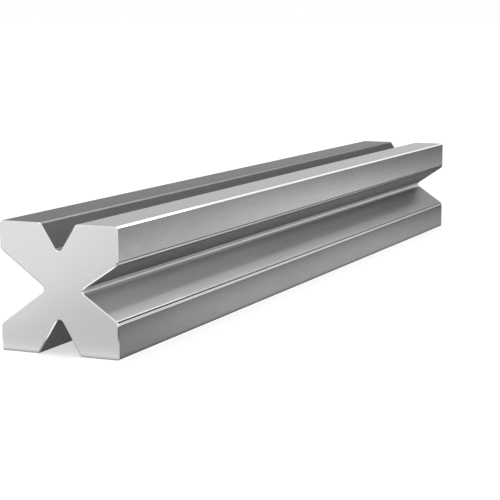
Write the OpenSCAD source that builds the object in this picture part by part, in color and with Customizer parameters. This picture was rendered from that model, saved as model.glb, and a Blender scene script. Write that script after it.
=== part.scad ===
// Multi-V die block: one ground steel bar with a different V groove along each of its four sides.
// X runs along the block, Y across it and Z up. The origin is the centre of the base.
// Left and right are as seen from the -X end, so the left side faces +Y.

/* [Block] */
// Length of the block
block_l = 500; // [100:5:1000]
// Width of the section, from side to side
block_w = 60; // [56:1:90]
// Height of the section
block_h = 60; // [56:1:90]
// Chamfer along the four long outer corners
corner_chamfer = 0.8; // [0.6:0.1:3]
// Chamfer round the outline of both end faces
end_chamfer = 0.5; // [0.1:0.1:0.7]

/* [Top groove] */
// Opening of the top groove, between its sharp lips
top_v_w = 18; // [12:0.5:22]
// Included angle of the top groove
top_v_angle = 65; // [60:1:90]
// Radius at the root of the top groove
top_root_r = 2.4; // [0.5:0.1:3]
// Radius on both lips of the top groove
top_lip_r = 1.5; // [0.8:0.1:3]

/* [Bottom groove] */
// Opening of the bottom groove, between its sharp lips
bottom_v_w = 22; // [12:0.5:24]
// Included angle of the bottom groove
bottom_v_angle = 63; // [60:1:90]
// Radius at the root of the bottom groove
bottom_root_r = 2.2; // [0.5:0.1:3]
// Radius on both lips of the bottom groove
bottom_lip_r = 1.5; // [0.8:0.1:3]

/* [Left groove] */
// Opening of the left groove, between its sharp lips
left_v_w = 34; // [24:0.5:36]
// Included angle of the left groove
left_v_angle = 72; // [70:1:90]
// Radius at the root of the left groove
left_root_r = 2; // [0.5:0.1:4]
// Radius on both lips of the left groove
left_lip_r = 2.8; // [0.8:0.1:4]

/* [Right groove] */
// Opening of the right groove, between its sharp lips
right_v_w = 26; // [20:0.5:28]
// Included angle of the right groove
right_v_angle = 68; // [66:1:90]
// Radius at the root of the right groove
right_root_r = 2; // [0.5:0.1:4]
// Radius on both lips of the right groove
right_lip_r = 2.8; // [0.8:0.1:4]

/* [Hidden] */

// Most that a rounded edge turns from one of its narrow flats to the next, in degrees
arc_step = 7.5;

// A groove is [opening, included angle, root radius, lip radius]
top_groove = [top_v_w, top_v_angle, top_root_r, top_lip_r];
bottom_groove = [bottom_v_w, bottom_v_angle, bottom_root_r, bottom_lip_r];
left_groove = [left_v_w, left_v_angle, left_root_r, left_lip_r];
right_groove = [right_v_w, right_v_angle, right_root_r, right_lip_r];

// A side is [turn about the section's centre, distance from that centre, width of the side, groove]
SIDES = [
    [0, block_h / 2, block_w, top_groove],
    [-90, block_w / 2, block_h, left_groove],
    [180, block_h / 2, block_w, bottom_groove],
    [90, block_w / 2, block_h, right_groove]
];

function opening(groove) = groove[0];
function half_angle(groove) = groove[1] / 2;
function root_radius(groove) = groove[2];
function lip_radius(groove) = groove[3];

// Depth at which the two flanks would meet if the root were sharp
function sharp_depth(groove) = opening(groove) / 2 / tan(half_angle(groove));

// Centre of the root's arc, below the middle of the mouth at [0, 0]
function root_centre(groove) =
    [0, root_radius(groove) / sin(half_angle(groove)) - sharp_depth(groove)];

// Distance from a sharp lip to where its arc leaves the side
function lip_setback(groove) = lip_radius(groove) * tan((90 - half_angle(groove)) / 2);

// Centre of the arc on the lip at +x
function lip_centre(groove) = [opening(groove) / 2 + lip_setback(groove), -lip_radius(groove)];

// Points of an arc whose outward normal turns from one angle to another.
// The radius is negative where the arc is hollow, so that drawing in goes against the normal on both.
function arc(centre, radius, from, to, drawn_in) =
    let (steps = ceil(abs(to - from) / arc_step))
    [for (i = [0:steps])
        let (normal = from + (to - from) * i / steps)
        centre + (radius - drawn_in) * [cos(normal), sin(normal)]];

// Both ends of the chamfer on an outer corner, drawn in from all three faces alike
function corner_points(width, drawn_in) =
    let (shift = drawn_in * tan(22.5))
    [
        [width / 2 - corner_chamfer - shift, -drawn_in],
        [width / 2 - drawn_in, -corner_chamfer - shift]
    ];

// Outline of one side, with its face on y = 0: first lip, root, second lip and outer corner
function side_outline(width, groove, drawn_in) =
    let (half = half_angle(groove), lip_r = lip_radius(groove), lip = lip_centre(groove))
    concat(
        arc([-lip[0], lip[1]], lip_r, 90, half, drawn_in),
        arc(root_centre(groove), -root_radius(groove), half, 180 - half, drawn_in),
        arc(lip, lip_r, 180 - half, 90, drawn_in),
        corner_points(width, drawn_in)
    );

function turned(point, angle) = [
    point[0] * cos(angle) - point[1] * sin(angle),
    point[0] * sin(angle) + point[1] * cos(angle)
];

// Whole section about its centre, as a closed outline
function section(drawn_in) = [
    for (side = SIDES, point = side_outline(side[2], side[3], drawn_in))
        turned(point + [0, side[1]], side[0])
];

// Last slice of the bar: the whole section at z = 0, drawn in by the chamfer at its end face.
// Every point of the outline can be seen from the centre, so both faces are fans about it.
module chamfered_end() {
    outline = section(0);
    face_outline = section(end_chamfer);
    count = len(outline);
    inner_centre = 2 * count;
    face_centre = inner_centre + 1;
    points = concat(
        [for (p = outline) [p[0], p[1], 0]],
        [for (p = face_outline) [p[0], p[1], end_chamfer]],
        [[0, 0, 0], [0, 0, end_chamfer]]
    );
    faces = [for (i = [0:count - 1])
        let (j = (i + 1) % count)
        each [[i, j, count + j, count + i], [inner_centre, j, i], [face_centre, count + i, count + j]]];
    polyhedron(points, faces);
}

// Whole bar along z, centred on the origin
module bar() {
    shank_l = block_l - 2 * end_chamfer;
    linear_extrude(shank_l, center = true) polygon(section(0));
    for (end = [0, 1]) mirror([0, 0, end]) translate([0, 0, shank_l / 2]) chamfered_end();
}

// Lays the bar along X and stands it on its base
module die_block() {
    color([0.72, 0.73, 0.74])
        translate([0, 0, block_h / 2]) rotate([90, 0, 90]) bar();
}

die_block();
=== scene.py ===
import math

import bmesh
import bpy
from bpy.props import FloatProperty, FloatVectorProperty, IntProperty, PointerProperty
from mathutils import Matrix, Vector


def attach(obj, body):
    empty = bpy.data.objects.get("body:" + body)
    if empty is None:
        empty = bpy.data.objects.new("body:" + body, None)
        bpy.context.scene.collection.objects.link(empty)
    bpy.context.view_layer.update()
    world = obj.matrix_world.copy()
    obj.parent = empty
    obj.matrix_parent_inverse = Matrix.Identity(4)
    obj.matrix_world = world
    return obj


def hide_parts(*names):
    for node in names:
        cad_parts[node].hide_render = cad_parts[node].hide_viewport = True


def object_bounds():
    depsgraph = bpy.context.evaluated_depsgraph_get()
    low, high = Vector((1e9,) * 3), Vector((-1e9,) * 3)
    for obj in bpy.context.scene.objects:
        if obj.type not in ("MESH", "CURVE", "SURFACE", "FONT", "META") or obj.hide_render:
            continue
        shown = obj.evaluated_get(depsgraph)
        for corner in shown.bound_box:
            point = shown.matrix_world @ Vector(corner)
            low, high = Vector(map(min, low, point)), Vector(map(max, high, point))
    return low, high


bl_info = {
    "name": "Multi-V Die Block",
    "version": (1, 0, 0),
    "blender": (4, 5, 0),
    "location": "3D Viewport > Sidebar > Die Block",
    "description": "Builds a ground steel die block with a V groove along each side, and its studio",
    "category": "Object",
}

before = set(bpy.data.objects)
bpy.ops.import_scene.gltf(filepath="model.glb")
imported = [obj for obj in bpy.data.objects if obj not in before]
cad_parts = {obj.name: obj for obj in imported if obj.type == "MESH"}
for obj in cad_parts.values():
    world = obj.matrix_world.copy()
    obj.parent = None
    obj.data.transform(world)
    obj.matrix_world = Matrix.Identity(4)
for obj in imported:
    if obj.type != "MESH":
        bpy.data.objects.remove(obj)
cad_low, cad_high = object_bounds()
cad_size = cad_high - cad_low

SIDES = ("top", "left", "bottom", "right")
SIDE_TURNS = {"top": 0, "left": -90, "bottom": 180, "right": 90}

# Places of the steels in the block's list of materials
END_FACE, GROUND_SIDE, PAINTED_SHADE_LAND, GROOVE_FLANK = range(4)
GROOVE_ROOT, RUBBED_HIGHLIGHT_LIP, SOFT_LIP, BRIGHT_CHAMFER = range(4, 8)

# Stretch and depth of the grinding lines, and how far lines and drift change the tone
COARSE_STRETCH = (60, 500, 1400)
ROOT_STRETCH = (60, 900, 900)
SATIN_STRETCH = (80, 450, 450)
COARSE_DEPTH = 0.000002
FINE_DEPTH = 0.000001
SATIN_DEPTH = 0.0000001
PLAIN_TONES = (0.03, 0.02)
SATIN_TONES = (0.05, 0.025)
ROUGHNESS_SWING = 0.006

# Where the brightening by the lips, partly rubbed by the sheet and partly painted light and shade, starts
# to fade, and where it ends, in metres from the lip
LAND_RUB_AND_PAINTED_LIGHT = (0, 0.02)
FLANK_RUB_AND_PAINTED_LIGHT = (0.014, 0.023)

WELD_DISTANCE = 1e-7
FLOOR_HALF_SIZE = 20
FLOOR_CARD_HEIGHT = 0.0003


def length_property(name, description, default):
    return FloatProperty(
        name=name, description=description, default=default, min=0, precision=4, unit="LENGTH"
    )


def angle_property(name, description, degrees):
    return FloatProperty(
        name=name, description=description, default=math.radians(degrees), unit="ROTATION"
    )


def share_property(name, description, default):
    return FloatProperty(
        name=name, description=description, default=default, min=0, max=1, subtype="FACTOR"
    )


def colour_property(name, description, default):
    return FloatVectorProperty(
        name=name, description=description, default=default, min=0, max=1, subtype="COLOR"
    )


class BlockSizes(bpy.types.PropertyGroup):
    length: length_property("Length", "Length of the block", cad_size.x)
    width: length_property("Width", "Width of the section, from side to side", cad_size.y)
    height: length_property("Height", "Height of the section", cad_size.z)
    corner_chamfer: length_property("Corner chamfer", "Chamfer along the four long outer corners", 0.0008)
    end_chamfer: length_property("End chamfer", "Chamfer round both end faces", 0.0005)
    lip_steps: IntProperty(name="Lip steps", description="Flats across each rounded lip", default=8, min=1)
    root_steps: IntProperty(
        name="Root steps", description="Flats across each rounded root", default=12, min=1
    )

    top_opening: length_property("Top opening", "Mouth of the top groove", 0.018)
    top_angle: angle_property("Top angle", "Included angle of the top groove", 65)
    top_root: length_property("Top root radius", "Radius at the root of the top groove", 0.0024)
    top_lip: length_property("Top lip radius", "Radius on both lips of the top groove", 0.0015)

    left_opening: length_property("Left opening", "Mouth of the left groove", 0.034)
    left_angle: angle_property("Left angle", "Included angle of the left groove", 72)
    left_root: length_property("Left root radius", "Radius at the root of the left groove", 0.002)
    left_lip: length_property("Left lip radius", "Radius on both lips of the left groove", 0.0028)

    bottom_opening: length_property("Bottom opening", "Mouth of the bottom groove", 0.022)
    bottom_angle: angle_property("Bottom angle", "Included angle of the bottom groove", 63)
    bottom_root: length_property("Bottom root radius", "Radius at the root of the bottom groove", 0.0022)
    bottom_lip: length_property("Bottom lip radius", "Radius on both lips of the bottom groove", 0.0015)

    right_opening: length_property("Right opening", "Mouth of the right groove", 0.026)
    right_angle: angle_property("Right angle", "Included angle of the right groove", 68)
    right_root: length_property("Right root radius", "Radius at the root of the right groove", 0.002)
    right_lip: length_property("Right lip radius", "Radius on both lips of the right groove", 0.0028)


class SteelFinish(bpy.types.PropertyGroup):
    end_colour: colour_property("End colour", "Ground steel of the end faces", (0.7, 0.703, 0.712))
    side_colour: colour_property("Side colour", "Ground steel of the lands", (0.275, 0.277, 0.281))
    flank_colour: colour_property("Flank colour", "Steel of the flanks of the grooves", (0.59, 0.59, 0.595))
    root_colour: colour_property("Root colour", "Steel at the roots of the grooves", (0.74, 0.74, 0.745))
    # Painted highlight, partly wear on the lips: near-white steel for the side grooves' lips and every
    # chamfer
    edge_wear_and_highlight_colour: colour_property("Edge colour", "Steel rubbed bright on the edges", (0.95, 0.95, 0.955))
    soft_lip_colour: colour_property(
        "Soft lip colour", "Steel of the lips that are used less", (0.5, 0.5, 0.505)
    )
    end_roughness: share_property("End roughness", "Roughness of the end faces", 0.34)
    side_roughness: share_property("Side roughness", "Roughness of the lands", 0.27)
    flank_roughness: share_property("Flank roughness", "Roughness of the flanks", 0.3)
    root_roughness: share_property("Root roughness", "Roughness of the roots", 0.36)
    edge_roughness: share_property("Edge roughness", "Roughness of the rubbed lips", 0.09)
    chamfer_roughness: share_property("Chamfer roughness", "Roughness of the chamfers", 0.12)
    side_glare: share_property("Side glare", "Brightness of the lands seen almost edge on", 0.94)
    # Painted shade: a darker copy of the lands' steel, seen almost edge on, for the left top land, the top
    # and bottom groove roots and their lips
    painted_shade_glare: share_property("Painted shade glare", "Brightness of the left top land seen almost edge on", 0.39)
    lip_glare: share_property("Lip glare", "Brightness of the rubbed lips seen almost edge on", 0.2)
    flank_glare: share_property("Flank glare", "Brightness of the flanks seen almost edge on", 0.08)
    # Painted light and shade, partly sheet wear: the upper side lands and the right groove's flanks grow
    # brighter towards the lips and darker away from them
    side_rub_and_painted_light: FloatProperty(
        name="Side rub",
        description="How much brighter the upper side lands are beside a lip",
        default=2,
        min=0,
    )
    flank_rub_and_painted_light: FloatProperty(
        name="Flank rub",
        description="How much brighter the right groove's flanks are beside a lip",
        default=0.62,
        min=0,
    )


class StudioSettings(bpy.types.PropertyGroup):
    floor_colour: colour_property("Floor colour", "Pale floor under the block", (0.9, 0.9, 0.9))
    backdrop_colour: colour_property("Backdrop colour", "White all round the block", (1, 1, 1))
    floor_glow: share_property("Floor glow", "Share of the floor's white that no shadow takes away", 0.55)
    sky_strength: FloatProperty(
        name="Sky strength", description="Soft light from all round", default=0.55, min=0
    )
    lens: FloatProperty(
        name="Lens", description="Focal length of the camera", default=116.3, unit="CAMERA"
    )
    camera_x: FloatProperty(
        name="Camera X", description="Place of the camera along the block", default=-0.8709, unit="LENGTH"
    )
    camera_y: FloatProperty(
        name="Camera Y", description="Place of the camera across the block", default=-0.3586, unit="LENGTH"
    )
    camera_z: FloatProperty(
        name="Camera Z", description="Height of the camera", default=0.1523, unit="LENGTH"
    )
    camera_yaw: FloatProperty(
        name="Camera yaw",
        description="Turn of the camera from +X towards +Y",
        default=0.4042,
        unit="ROTATION",
    )
    camera_pitch: FloatProperty(
        name="Camera pitch", description="Tilt of the camera from level", default=-0.1453, unit="ROTATION"
    )


# Node building


def group_socket(group, name, direction, kind, value=None):
    socket = group.interface.new_socket(name=name, in_out=direction, socket_type=kind)
    if value is not None:
        socket.default_value = value


def new_group(name):
    group = bpy.data.node_groups.new(name, "ShaderNodeTree")
    return group, group.nodes.new("NodeGroupInput"), group.nodes.new("NodeGroupOutput")


def grinding_lines_group():
    """Streaks left by a grinding wheel: noise that the stretch draws out along some axes."""
    group, given, result = new_group("Grinding Lines")
    group_socket(group, "Vector", "INPUT", "NodeSocketVector")
    group_socket(group, "Stretch", "INPUT", "NodeSocketVector", (1000, 1000, 1000))
    group_socket(group, "Waver", "INPUT", "NodeSocketFloat", 0.3)
    group_socket(group, "Tone", "OUTPUT", "NodeSocketFloat")
    group_socket(group, "Height", "OUTPUT", "NodeSocketFloat")
    links = group.links

    stretched = group.nodes.new("ShaderNodeVectorMath")
    stretched.operation = "MULTIPLY"
    links.new(given.outputs["Vector"], stretched.inputs[0])
    links.new(given.outputs["Stretch"], stretched.inputs[1])

    broad = group.nodes.new("ShaderNodeTexNoise")
    broad.inputs["Scale"].default_value = 1
    broad.inputs["Detail"].default_value = 3
    broad.inputs["Roughness"].default_value = 0.65
    links.new(stretched.outputs[0], broad.inputs["Vector"])
    links.new(given.outputs["Waver"], broad.inputs["Distortion"])

    fine = group.nodes.new("ShaderNodeTexNoise")
    fine.inputs["Scale"].default_value = 2.7
    fine.inputs["Detail"].default_value = 2
    links.new(stretched.outputs[0], fine.inputs["Vector"])

    links.new(broad.outputs["Fac"], result.inputs["Tone"])
    links.new(fine.outputs["Fac"], result.inputs["Height"])
    return group


def cloudy_tone_group():
    """Slow drift of tone over a ground surface, as a value around 0.5."""
    group, given, result = new_group("Cloudy Tone")
    group_socket(group, "Vector", "INPUT", "NodeSocketVector")
    group_socket(group, "Scale", "INPUT", "NodeSocketFloat", 25)
    group_socket(group, "Tone", "OUTPUT", "NodeSocketFloat")
    cloud = group.nodes.new("ShaderNodeTexNoise")
    cloud.inputs["Detail"].default_value = 2
    cloud.inputs["Roughness"].default_value = 0.5
    group.links.new(given.outputs["Vector"], cloud.inputs["Vector"])
    group.links.new(given.outputs["Scale"], cloud.inputs["Scale"])
    group.links.new(cloud.outputs["Fac"], result.inputs["Tone"])
    return group


def lip_rub_and_painted_light_group():
    """Steel brighter beside a lip, partly rubbed by the sheet and partly painted light: 1 from a lip to
    where it starts to fade, 0 at the reach.
    """
    group, given, result = new_group("Lip Rub And Painted Light")
    group_socket(group, "Distance", "INPUT", "NodeSocketFloat")
    group_socket(group, "Fade Start", "INPUT", "NodeSocketFloat", 0)
    group_socket(group, "Reach", "INPUT", "NodeSocketFloat", 0.02)
    group_socket(group, "Mask", "OUTPUT", "NodeSocketFloat")
    fade = group.nodes.new("ShaderNodeMapRange")
    fade.inputs["To Min"].default_value = 1
    fade.inputs["To Max"].default_value = 0
    group.links.new(given.outputs["Distance"], fade.inputs["Value"])
    group.links.new(given.outputs["Fade Start"], fade.inputs["From Min"])
    group.links.new(given.outputs["Reach"], fade.inputs["From Max"])
    group.links.new(fade.outputs["Result"], result.inputs["Mask"])
    return group


def steel_material(
    name, colour, roughness, groups, stretch, line_depth, tones, glare=1, rub_and_painted_light=0, rub_and_light_span=LAND_RUB_AND_PAINTED_LIGHT
):
    """Bare ground steel whose lines, slow drift and brightening by the lips, partly wear and partly painted
    light, change colour, roughness and height.
    """
    line_tone, cloud_tone = tones
    fade_start, rub_and_light_reach = rub_and_light_span
    material = bpy.data.materials.new(name)
    material.use_nodes = True
    nodes, links = material.node_tree.nodes, material.node_tree.links
    shader = nodes["Principled BSDF"]
    shader.inputs["Metallic"].default_value = 1
    shader.inputs["Specular Tint"].default_value = (glare, glare, glare, 1)

    place = nodes.new("ShaderNodeTexCoord")
    lines = nodes.new("ShaderNodeGroup")
    lines.node_tree = groups["lines"]
    lines.inputs["Stretch"].default_value = stretch
    links.new(place.outputs["Object"], lines.inputs["Vector"])
    cloud = nodes.new("ShaderNodeGroup")
    cloud.node_tree = groups["cloud"]
    links.new(place.outputs["Object"], cloud.inputs["Vector"])

    line_range = nodes.new("ShaderNodeMapRange")
    line_range.inputs["From Min"].default_value = 0.25
    line_range.inputs["From Max"].default_value = 0.75
    line_range.inputs["To Min"].default_value = 1 - line_tone
    line_range.inputs["To Max"].default_value = 1 + line_tone
    links.new(lines.outputs["Tone"], line_range.inputs["Value"])
    cloud_range = nodes.new("ShaderNodeMapRange")
    cloud_range.inputs["From Min"].default_value = 0.3
    cloud_range.inputs["From Max"].default_value = 0.7
    cloud_range.inputs["To Min"].default_value = 1 - cloud_tone
    cloud_range.inputs["To Max"].default_value = 1 + cloud_tone
    links.new(cloud.outputs["Tone"], cloud_range.inputs["Value"])
    tone = nodes.new("ShaderNodeMath")
    tone.operation = "MULTIPLY"
    links.new(line_range.outputs["Result"], tone.inputs[0])
    links.new(cloud_range.outputs["Result"], tone.inputs[1])

    distance = nodes.new("ShaderNodeAttribute")
    distance.attribute_name = "lip_distance"
    rubbed_and_lit = nodes.new("ShaderNodeGroup")
    rubbed_and_lit.node_tree = groups["rub_and_painted_light"]
    rubbed_and_lit.inputs["Fade Start"].default_value = fade_start
    rubbed_and_lit.inputs["Reach"].default_value = rub_and_light_reach
    links.new(distance.outputs["Fac"], rubbed_and_lit.inputs["Distance"])
    # Painted light, partly sheet wear: the mask brightens the colour towards a lip
    gain = nodes.new("ShaderNodeMath")
    gain.operation = "MULTIPLY_ADD"
    gain.inputs[1].default_value = rub_and_painted_light
    gain.inputs[2].default_value = 1
    links.new(rubbed_and_lit.outputs["Mask"], gain.inputs[0])
    total = nodes.new("ShaderNodeMath")
    total.operation = "MULTIPLY"
    links.new(tone.outputs[0], total.inputs[0])
    links.new(gain.outputs[0], total.inputs[1])

    tint = nodes.new("ShaderNodeVectorMath")
    tint.operation = "SCALE"
    tint.inputs[0].default_value = colour
    links.new(total.outputs[0], tint.inputs["Scale"])
    links.new(tint.outputs[0], shader.inputs["Base Color"])

    dullness = nodes.new("ShaderNodeMapRange")
    dullness.inputs["From Min"].default_value = 0.25
    dullness.inputs["From Max"].default_value = 0.75
    dullness.inputs["To Min"].default_value = roughness + ROUGHNESS_SWING
    dullness.inputs["To Max"].default_value = roughness - ROUGHNESS_SWING
    links.new(lines.outputs["Tone"], dullness.inputs["Value"])
    links.new(dullness.outputs["Result"], shader.inputs["Roughness"])

    bump = nodes.new("ShaderNodeBump")
    bump.inputs["Strength"].default_value = 1
    bump.inputs["Distance"].default_value = line_depth
    links.new(lines.outputs["Height"], bump.inputs["Height"])
    links.new(bump.outputs["Normal"], shader.inputs["Normal"])
    return material


def block_materials(finish):
    groups = {"lines": grinding_lines_group(), "cloud": cloudy_tone_group(), "rub_and_painted_light": lip_rub_and_painted_light_group()}
    return {
        END_FACE: steel_material(
            "End Face Steel", finish.end_colour, finish.end_roughness, groups,
            COARSE_STRETCH, COARSE_DEPTH, PLAIN_TONES,
        ),
        GROUND_SIDE: steel_material(
            "Ground Side Steel", finish.side_colour, finish.side_roughness, groups,
            SATIN_STRETCH, SATIN_DEPTH, SATIN_TONES, finish.side_glare, finish.side_rub_and_painted_light,
        ),
        # Painted shade: the lands' steel made darker when seen almost edge on
        PAINTED_SHADE_LAND: steel_material(
            "Painted Shade Land Steel", finish.side_colour, finish.side_roughness, groups,
            SATIN_STRETCH, SATIN_DEPTH, SATIN_TONES, finish.painted_shade_glare,
        ),
        GROOVE_FLANK: steel_material(
            "Groove Flank Steel", finish.flank_colour, finish.flank_roughness, groups,
            SATIN_STRETCH, SATIN_DEPTH, SATIN_TONES, finish.flank_glare, finish.flank_rub_and_painted_light, FLANK_RUB_AND_PAINTED_LIGHT,
        ),
        GROOVE_ROOT: steel_material(
            "Groove Root Steel", finish.root_colour, finish.root_roughness, groups,
            ROOT_STRETCH, FINE_DEPTH, PLAIN_TONES,
        ),
        # Painted highlight, partly wear on the lips: the next two steels are near-white, on the side
        # grooves' lips and on every chamfer
        RUBBED_HIGHLIGHT_LIP: steel_material(
            "Rubbed Highlight Lip Steel", finish.edge_wear_and_highlight_colour, finish.edge_roughness, groups,
            SATIN_STRETCH, FINE_DEPTH, PLAIN_TONES, finish.lip_glare,
        ),
        SOFT_LIP: steel_material(
            "Soft Lip Steel", finish.soft_lip_colour, finish.flank_roughness, groups,
            SATIN_STRETCH, FINE_DEPTH, PLAIN_TONES, finish.painted_shade_glare,
        ),
        BRIGHT_CHAMFER: steel_material(
            "Bright Chamfer Steel", finish.edge_wear_and_highlight_colour, finish.chamfer_roughness, groups,
            SATIN_STRETCH, FINE_DEPTH, PLAIN_TONES,
        ),
    }


# The block


def groove_depth(opening, angle):
    return opening / 2 / math.tan(angle / 2)


def side_outline(sizes, side):
    """Sharp points of one side: first lip, root, second lip and outer corner, each with what it is."""
    opening, angle = getattr(sizes, side + "_opening"), getattr(sizes, side + "_angle")
    upright = side in ("top", "bottom")
    width, reach = (sizes.width, sizes.height) if upright else (sizes.height, sizes.width)
    turn = math.radians(SIDE_TURNS[side])
    flat_points = [
        ("lip", -opening / 2, reach / 2),
        ("root", 0, reach / 2 - groove_depth(opening, angle)),
        ("lip", opening / 2, reach / 2),
        ("corner", width / 2, reach / 2),
    ]
    cos, sin = math.cos(turn), math.sin(turn)
    return [(kind, across * cos - out * sin, across * sin + out * cos) for kind, across, out in flat_points]


def set_back(radius, angle_between_walls):
    """Distance from a sharp edge to where a rounding of this radius leaves the wall."""
    return radius / math.tan(angle_between_walls / 2)


def rounded(mesh, edges, offset, steps, finish_slot):
    made = bmesh.ops.bevel(
        mesh,
        geom=edges,
        offset=offset,
        offset_type="OFFSET",
        segments=steps,
        profile=0.5,
        affect="EDGES",
        clamp_overlap=False,
        material=-1,
    )
    for face in made["faces"]:
        face.material_index = finish_slot


def gets_rub_and_painted_light(face, sizes):
    """The flanks of the right groove and the lands above both side grooves grow brighter towards a lip,
    partly rubbed by the sheet and partly painted light and shade.
    """
    middle = face.calc_center_median()
    on_side = abs(middle.y) > abs(middle.z - sizes.height / 2)
    if face.material_index == GROOVE_FLANK:
        return on_side and middle.y < 0
    return face.material_index == GROUND_SIDE and on_side and middle.z > sizes.height / 2


def mark_lip_distance(mesh, lips, sizes):
    """Keeps on the corners of every face with the lip brightening, partly wear and partly painted light,
    how far they lie from its lip.
    """
    layer = mesh.loops.layers.float.new("lip_distance")
    for face in mesh.faces:
        nearest = min(lips, key=lambda lip: min((v.co.yz - lip).length for v in face.verts))
        rubbed_and_lit = gets_rub_and_painted_light(face, sizes)
        for corner in face.loops:
            corner[layer] = (corner.vert.co.yz - nearest).length if rubbed_and_lit else sizes.height


def block_mesh(sizes):
    """The section as one face, drawn out along X, with every edge then rounded or chamfered."""
    mesh = bmesh.new()
    near_x = -sizes.length / 2
    kinds, near_points = [], []
    for side in SIDES:
        for kind, across, up in side_outline(sizes, side):
            kinds.append((side, kind))
            near_points.append(mesh.verts.new((near_x, across, up + sizes.height / 2)))
    lips = [point.co.yz for (side, kind), point in zip(kinds, near_points) if kind == "lip"]
    section = mesh.faces.new(near_points)
    section.material_index = END_FACE
    drawn = bmesh.ops.extrude_face_region(mesh, geom=[section], use_keep_orig=True)
    far_points = [item for item in drawn["geom"] if isinstance(item, bmesh.types.BMVert)]
    bmesh.ops.translate(mesh, vec=(sizes.length, 0, 0), verts=far_points)
    bmesh.ops.recalc_face_normals(mesh, faces=mesh.faces)

    long_edges = {}
    for (side, kind), point in zip(kinds, near_points):
        edge = next(e for e in point.link_edges if e.other_vert(point).co.x > 0)
        long_edges.setdefault((side, kind), []).append(edge)
    for side in SIDES:
        for face in long_edges[side, "root"][0].link_faces:
            face.material_index = GROOVE_FLANK
    for face in mesh.faces:
        if abs(face.normal.x) < 0.5 and face.material_index != GROOVE_FLANK:
            # Painted shade: the left top land gets a darker copy of the lands' steel
            left_top = face.normal.z > 0.5 and face.calc_center_median().y > 0
            face.material_index = PAINTED_SHADE_LAND if left_top else GROUND_SIDE

    for side in SIDES:
        angle = getattr(sizes, side + "_angle")
        root_offset = set_back(getattr(sizes, side + "_root"), angle)
        lip_offset = set_back(getattr(sizes, side + "_lip"), math.pi / 2 + angle / 2)
        worn_and_highlit_side = side in ("left", "right")
        # The roots of the top and bottom grooves get the painted shade of the left top land, and the lips
        # of the side grooves get the painted highlight of the edges
        root_finish, lip_finish = (GROOVE_ROOT, RUBBED_HIGHLIGHT_LIP) if worn_and_highlit_side else (PAINTED_SHADE_LAND, SOFT_LIP)
        rounded(mesh, long_edges[side, "root"], root_offset, sizes.root_steps, root_finish)
        rounded(mesh, long_edges[side, "lip"], lip_offset, sizes.lip_steps, lip_finish)
        rounded(mesh, long_edges[side, "corner"], sizes.corner_chamfer, 1, BRIGHT_CHAMFER)

    end_edges = [
        edge for edge in mesh.edges if any(abs(face.normal.x) > 0.5 for face in edge.link_faces)
    ]
    rounded(mesh, end_edges, sizes.end_chamfer, 1, BRIGHT_CHAMFER)
    bmesh.ops.remove_doubles(mesh, verts=mesh.verts, dist=WELD_DISTANCE)
    bmesh.ops.recalc_face_normals(mesh, faces=mesh.faces)
    mark_lip_distance(mesh, lips, sizes)
    for face in mesh.faces:
        face.smooth = True
        if face.material_index == BRIGHT_CHAMFER:
            for edge in face.edges:
                edge.smooth = False
    return mesh


class DIEBLOCK_OT_block(bpy.types.Operator):
    """Build the bar with its four grooves and give each kind of surface its steel"""

    bl_idname = "die_block.block"
    bl_label = "Build Block"

    def execute(self, context):
        scene = context.scene
        mesh = block_mesh(scene.die_block_sizes)
        data = bpy.data.meshes.new("ground_block")
        mesh.to_mesh(data)
        mesh.free()
        block = bpy.data.objects.new("ground_block", data)
        scene.collection.objects.link(block)
        materials = block_materials(scene.die_block_finish)
        for finish_slot in sorted(materials):
            data.materials.append(materials[finish_slot])
        shading = block.modifiers.new("Flat faces stay flat", "WEIGHTED_NORMAL")
        shading.weight = 100
        shading.keep_sharp = True
        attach(block, "root")
        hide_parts("die_block")
        return {"FINISHED"}


# The studio


def floor_material(settings):
    """Pale floor that the camera and the steel see as white, and that still takes a shadow."""
    material = bpy.data.materials.new("Pale Floor")
    material.use_nodes = True
    nodes, links = material.node_tree.nodes, material.node_tree.links
    shader = nodes["Principled BSDF"]
    shader.inputs["Base Color"].default_value = (*settings.floor_colour, 1)
    shader.inputs["Roughness"].default_value = 0.9
    shader.inputs["Specular IOR Level"].default_value = 0
    glow = nodes.new("ShaderNodeMath")
    glow.operation = "MULTIPLY"
    glow.inputs[1].default_value = settings.floor_glow
    links.new(seen_rays(nodes, links), glow.inputs[0])
    shader.inputs["Emission Color"].default_value = (*settings.backdrop_colour, 1)
    links.new(glow.outputs[0], shader.inputs["Emission Strength"])
    return material


def seen_rays(nodes, links):
    """1 for rays that show the background directly, in metal or through glass, and 0 for the rest."""
    path = nodes.new("ShaderNodeLightPath")
    total = path.outputs["Is Camera Ray"]
    for name in ("Is Glossy Ray", "Is Transmission Ray"):
        larger = nodes.new("ShaderNodeMath")
        larger.operation = "MAXIMUM"
        links.new(total, larger.inputs[0])
        links.new(path.outputs[name], larger.inputs[1])
        total = larger.outputs[0]
    return total


def studio_world(settings):
    world = bpy.data.worlds.new("White Studio")
    world.use_nodes = True
    nodes, links = world.node_tree.nodes, world.node_tree.links
    background = nodes["Background"]
    background.inputs["Color"].default_value = (*settings.backdrop_colour, 1)
    strength = nodes.new("ShaderNodeMapRange")
    strength.inputs["To Min"].default_value = settings.sky_strength
    strength.inputs["To Max"].default_value = 1
    links.new(seen_rays(nodes, links), strength.inputs["Value"])
    links.new(strength.outputs["Result"], background.inputs["Strength"])
    return world


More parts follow.
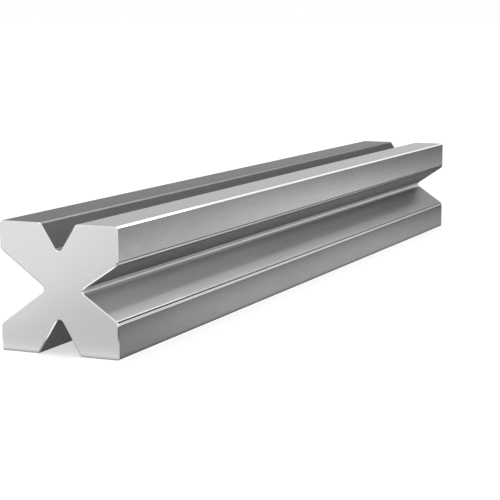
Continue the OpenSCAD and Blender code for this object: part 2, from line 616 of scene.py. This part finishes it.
def card(name, corner, along, up, *tones):
    """A flat card that only shows in the steel, its tones spread evenly from low to high X."""
    mesh = bmesh.new()
    corner, along, up = Vector(corner), Vector(along), Vector(up)
    points = [mesh.verts.new(p) for p in (corner, corner + along, corner + along + up, corner + up)]
    mesh.faces.new(points)
    data = bpy.data.meshes.new(name)
    mesh.to_mesh(data)
    mesh.free()
    piece = bpy.data.objects.new(name, data)
    bpy.context.scene.collection.objects.link(piece)
    material = bpy.data.materials.new(name)
    material.use_nodes = True
    nodes, links = material.node_tree.nodes, material.node_tree.links
    nodes.remove(nodes["Principled BSDF"])
    place = nodes.new("ShaderNodeTexCoord")
    split = nodes.new("ShaderNodeSeparateXYZ")
    links.new(place.outputs["Object"], split.inputs[0])
    share = nodes.new("ShaderNodeMapRange")
    share.inputs["From Min"].default_value = corner.x
    share.inputs["From Max"].default_value = (corner + along).x
    links.new(split.outputs["X"], share.inputs["Value"])
    ramp = nodes.new("ShaderNodeValToRGB")
    stops = ramp.color_ramp.elements
    while len(stops) < len(tones):
        stops.new(0.5)
    for number, (stop, tone) in enumerate(zip(stops, tones)):
        stop.position = number / max(1, len(tones) - 1)
        stop.color = (tone, tone, tone, 1)
    links.new(share.outputs["Result"], ramp.inputs["Fac"])
    glow = nodes.new("ShaderNodeEmission")
    links.new(ramp.outputs["Color"], glow.inputs["Color"])
    links.new(glow.outputs[0], nodes["Material Output"].inputs["Surface"])
    data.materials.append(material)
    piece.visible_camera = False
    piece.visible_diffuse = False
    piece.visible_shadow = False


def floor_card(name, x, y, length, depth, *tones):
    """A card that lies just over the floor, from a corner at x and y."""
    card(name, (x, y, FLOOR_CARD_HEIGHT), (length, 0, 0), (0, depth, 0), *tones)


def upright_card(name, x, y, z, length, height, *tones):
    """A card that stands along X, from a corner at x, y and z."""
    card(name, (x, y, z), (length, 0, 0), (0, 0, height), *tones)


def lamp(name, place, length, width, power):
    """A flat lamp that hangs over the block and shines straight down."""
    data = bpy.data.lights.new(name, "AREA")
    data.shape = "RECTANGLE"
    data.size, data.size_y = length, width
    data.energy = power
    piece = bpy.data.objects.new(name, data)
    piece.location = place
    piece.visible_camera = False
    bpy.context.scene.collection.objects.link(piece)


class DIEBLOCK_OT_studio(bpy.types.Operator):
    """Set up the camera, the floor, the lamps and the cards that the steel reflects"""

    bl_idname = "die_block.studio"
    bl_label = "Set Up Studio"

    def execute(self, context):
        scene = context.scene
        settings = scene.die_block_studio

        camera_data = bpy.data.cameras.new("Camera")
        camera_data.lens = settings.lens
        camera_data.sensor_width = 36
        camera_data.clip_start, camera_data.clip_end = 0.01, 100
        camera = bpy.data.objects.new("Camera", camera_data)
        camera.location = (settings.camera_x, settings.camera_y, settings.camera_z)
        camera.rotation_euler = (
            math.pi / 2 + settings.camera_pitch,
            0,
            settings.camera_yaw - math.pi / 2,
        )
        scene.collection.objects.link(camera)
        scene.camera = camera

        floor_mesh = bmesh.new()
        bmesh.ops.create_grid(floor_mesh, x_segments=1, y_segments=1, size=FLOOR_HALF_SIZE)
        floor_data = bpy.data.meshes.new("Floor")
        floor_mesh.to_mesh(floor_data)
        floor_mesh.free()
        floor_data.materials.append(floor_material(settings))
        floor = bpy.data.objects.new("Floor", floor_data)
        scene.collection.objects.link(floor)

        scene.world = studio_world(settings)
        scene.view_settings.view_transform = "Standard"

        high_tones = (0.15, 0.08, 0.05, 0.08, 0.2, 0.25, 0.25, 0.25)
        low_tones = (0.7, 0.7, 0.75, 0.95, 0.95, 0.95)
        right_tones = (0.46, 0.5, 0.84, 0.24, 0.03, 0.03, 0.03)
        card("Ceiling Card", (-3, -2, 1.5), (5.1, 0, 0), (0, 4, 0), 0.8, 0.8)
        upright_card("High Right Flag", -0.3, -0.5, 0.36, 3.6, 0.64, *high_tones)
        upright_card("Low Right Flag", -0.3, -0.5, 0.05, 2.6, 0.31, *low_tones)
        card("Far Flag", (1, -0.07, 0.08), (0.001, 0.17, 0), (0, 0, 0.34), 0.35, 0.35)
        # Painted shadow: the next three floor cards lie beside and under the block and paint its shadow on
        # the floor into the steel's reflections
        floor_card("Dark Floor Strip", -0.35, -0.12, 1.35, 0.052, 0.08, 0.08)
        floor_card("Close Floor Card", -0.35, -0.068, 1, 0.0355, 0.4, 1, 0.92, 0.43, 0.18)
        floor_card("Foot Shadow Card", -0.2525, -0.0325, 0.505, 0.065, 0.25, 0.25)
        floor_card("Right Floor Card", -0.2, -0.5, 1.8, 0.38, *right_tones)
        floor_card("Far Floor Card", 0.2525, -0.0325, 0.4, 0.0825, 0.35, 0.35)
        floor_card("Front Floor Card", -0.75, -0.65, 0.42, 0.5, 0.7, 0.7)
        floor_card("End Floor Card", -0.65, -0.0325, 0.39, 0.0925, 0.3, 0.3, 0.75)
        floor_card("Left Floor Card", -0.26, 0.05, 1.06, 0.6, 0.15, 0.25, 0.4, 0.4)

        lamp("Overhead Softbox", (0.4, 0.2, 1.1), 2.4, 0.5, 2)
        lamp("Edge Strip Light", (0.65, -0.25, 0.9), 1.9, 0.06, 0.9)
        return {"FINISHED"}


class DIEBLOCK_PT_panel(bpy.types.Panel):
    bl_idname = "DIEBLOCK_PT_panel"
    bl_label = "Die Block"
    bl_space_type = "VIEW_3D"
    bl_region_type = "UI"
    bl_category = "Die Block"

    def draw(self, context):
        layout = self.layout
        scene = context.scene
        layout.operator(DIEBLOCK_OT_block.bl_idname)
        layout.operator(DIEBLOCK_OT_studio.bl_idname)
        for settings in (scene.die_block_sizes, scene.die_block_finish, scene.die_block_studio):
            column = layout.column(align=True)
            for name in type(settings).__annotations__:
                column.prop(settings, name)


CLASSES = (
    BlockSizes,
    SteelFinish,
    StudioSettings,
    DIEBLOCK_OT_block,
    DIEBLOCK_OT_studio,
    DIEBLOCK_PT_panel,
)


def register():
    for item in CLASSES:
        bpy.utils.register_class(item)
    bpy.types.Scene.die_block_sizes = PointerProperty(type=BlockSizes)
    bpy.types.Scene.die_block_finish = PointerProperty(type=SteelFinish)
    bpy.types.Scene.die_block_studio = PointerProperty(type=StudioSettings)


def unregister():
    del bpy.types.Scene.die_block_studio
    del bpy.types.Scene.die_block_finish
    del bpy.types.Scene.die_block_sizes
    for item in reversed(CLASSES):
        bpy.utils.unregister_class(item)


def main():
    register()
    bpy.ops.die_block.studio()
    bpy.ops.die_block.block()


if __name__ == "__main__":
    main()
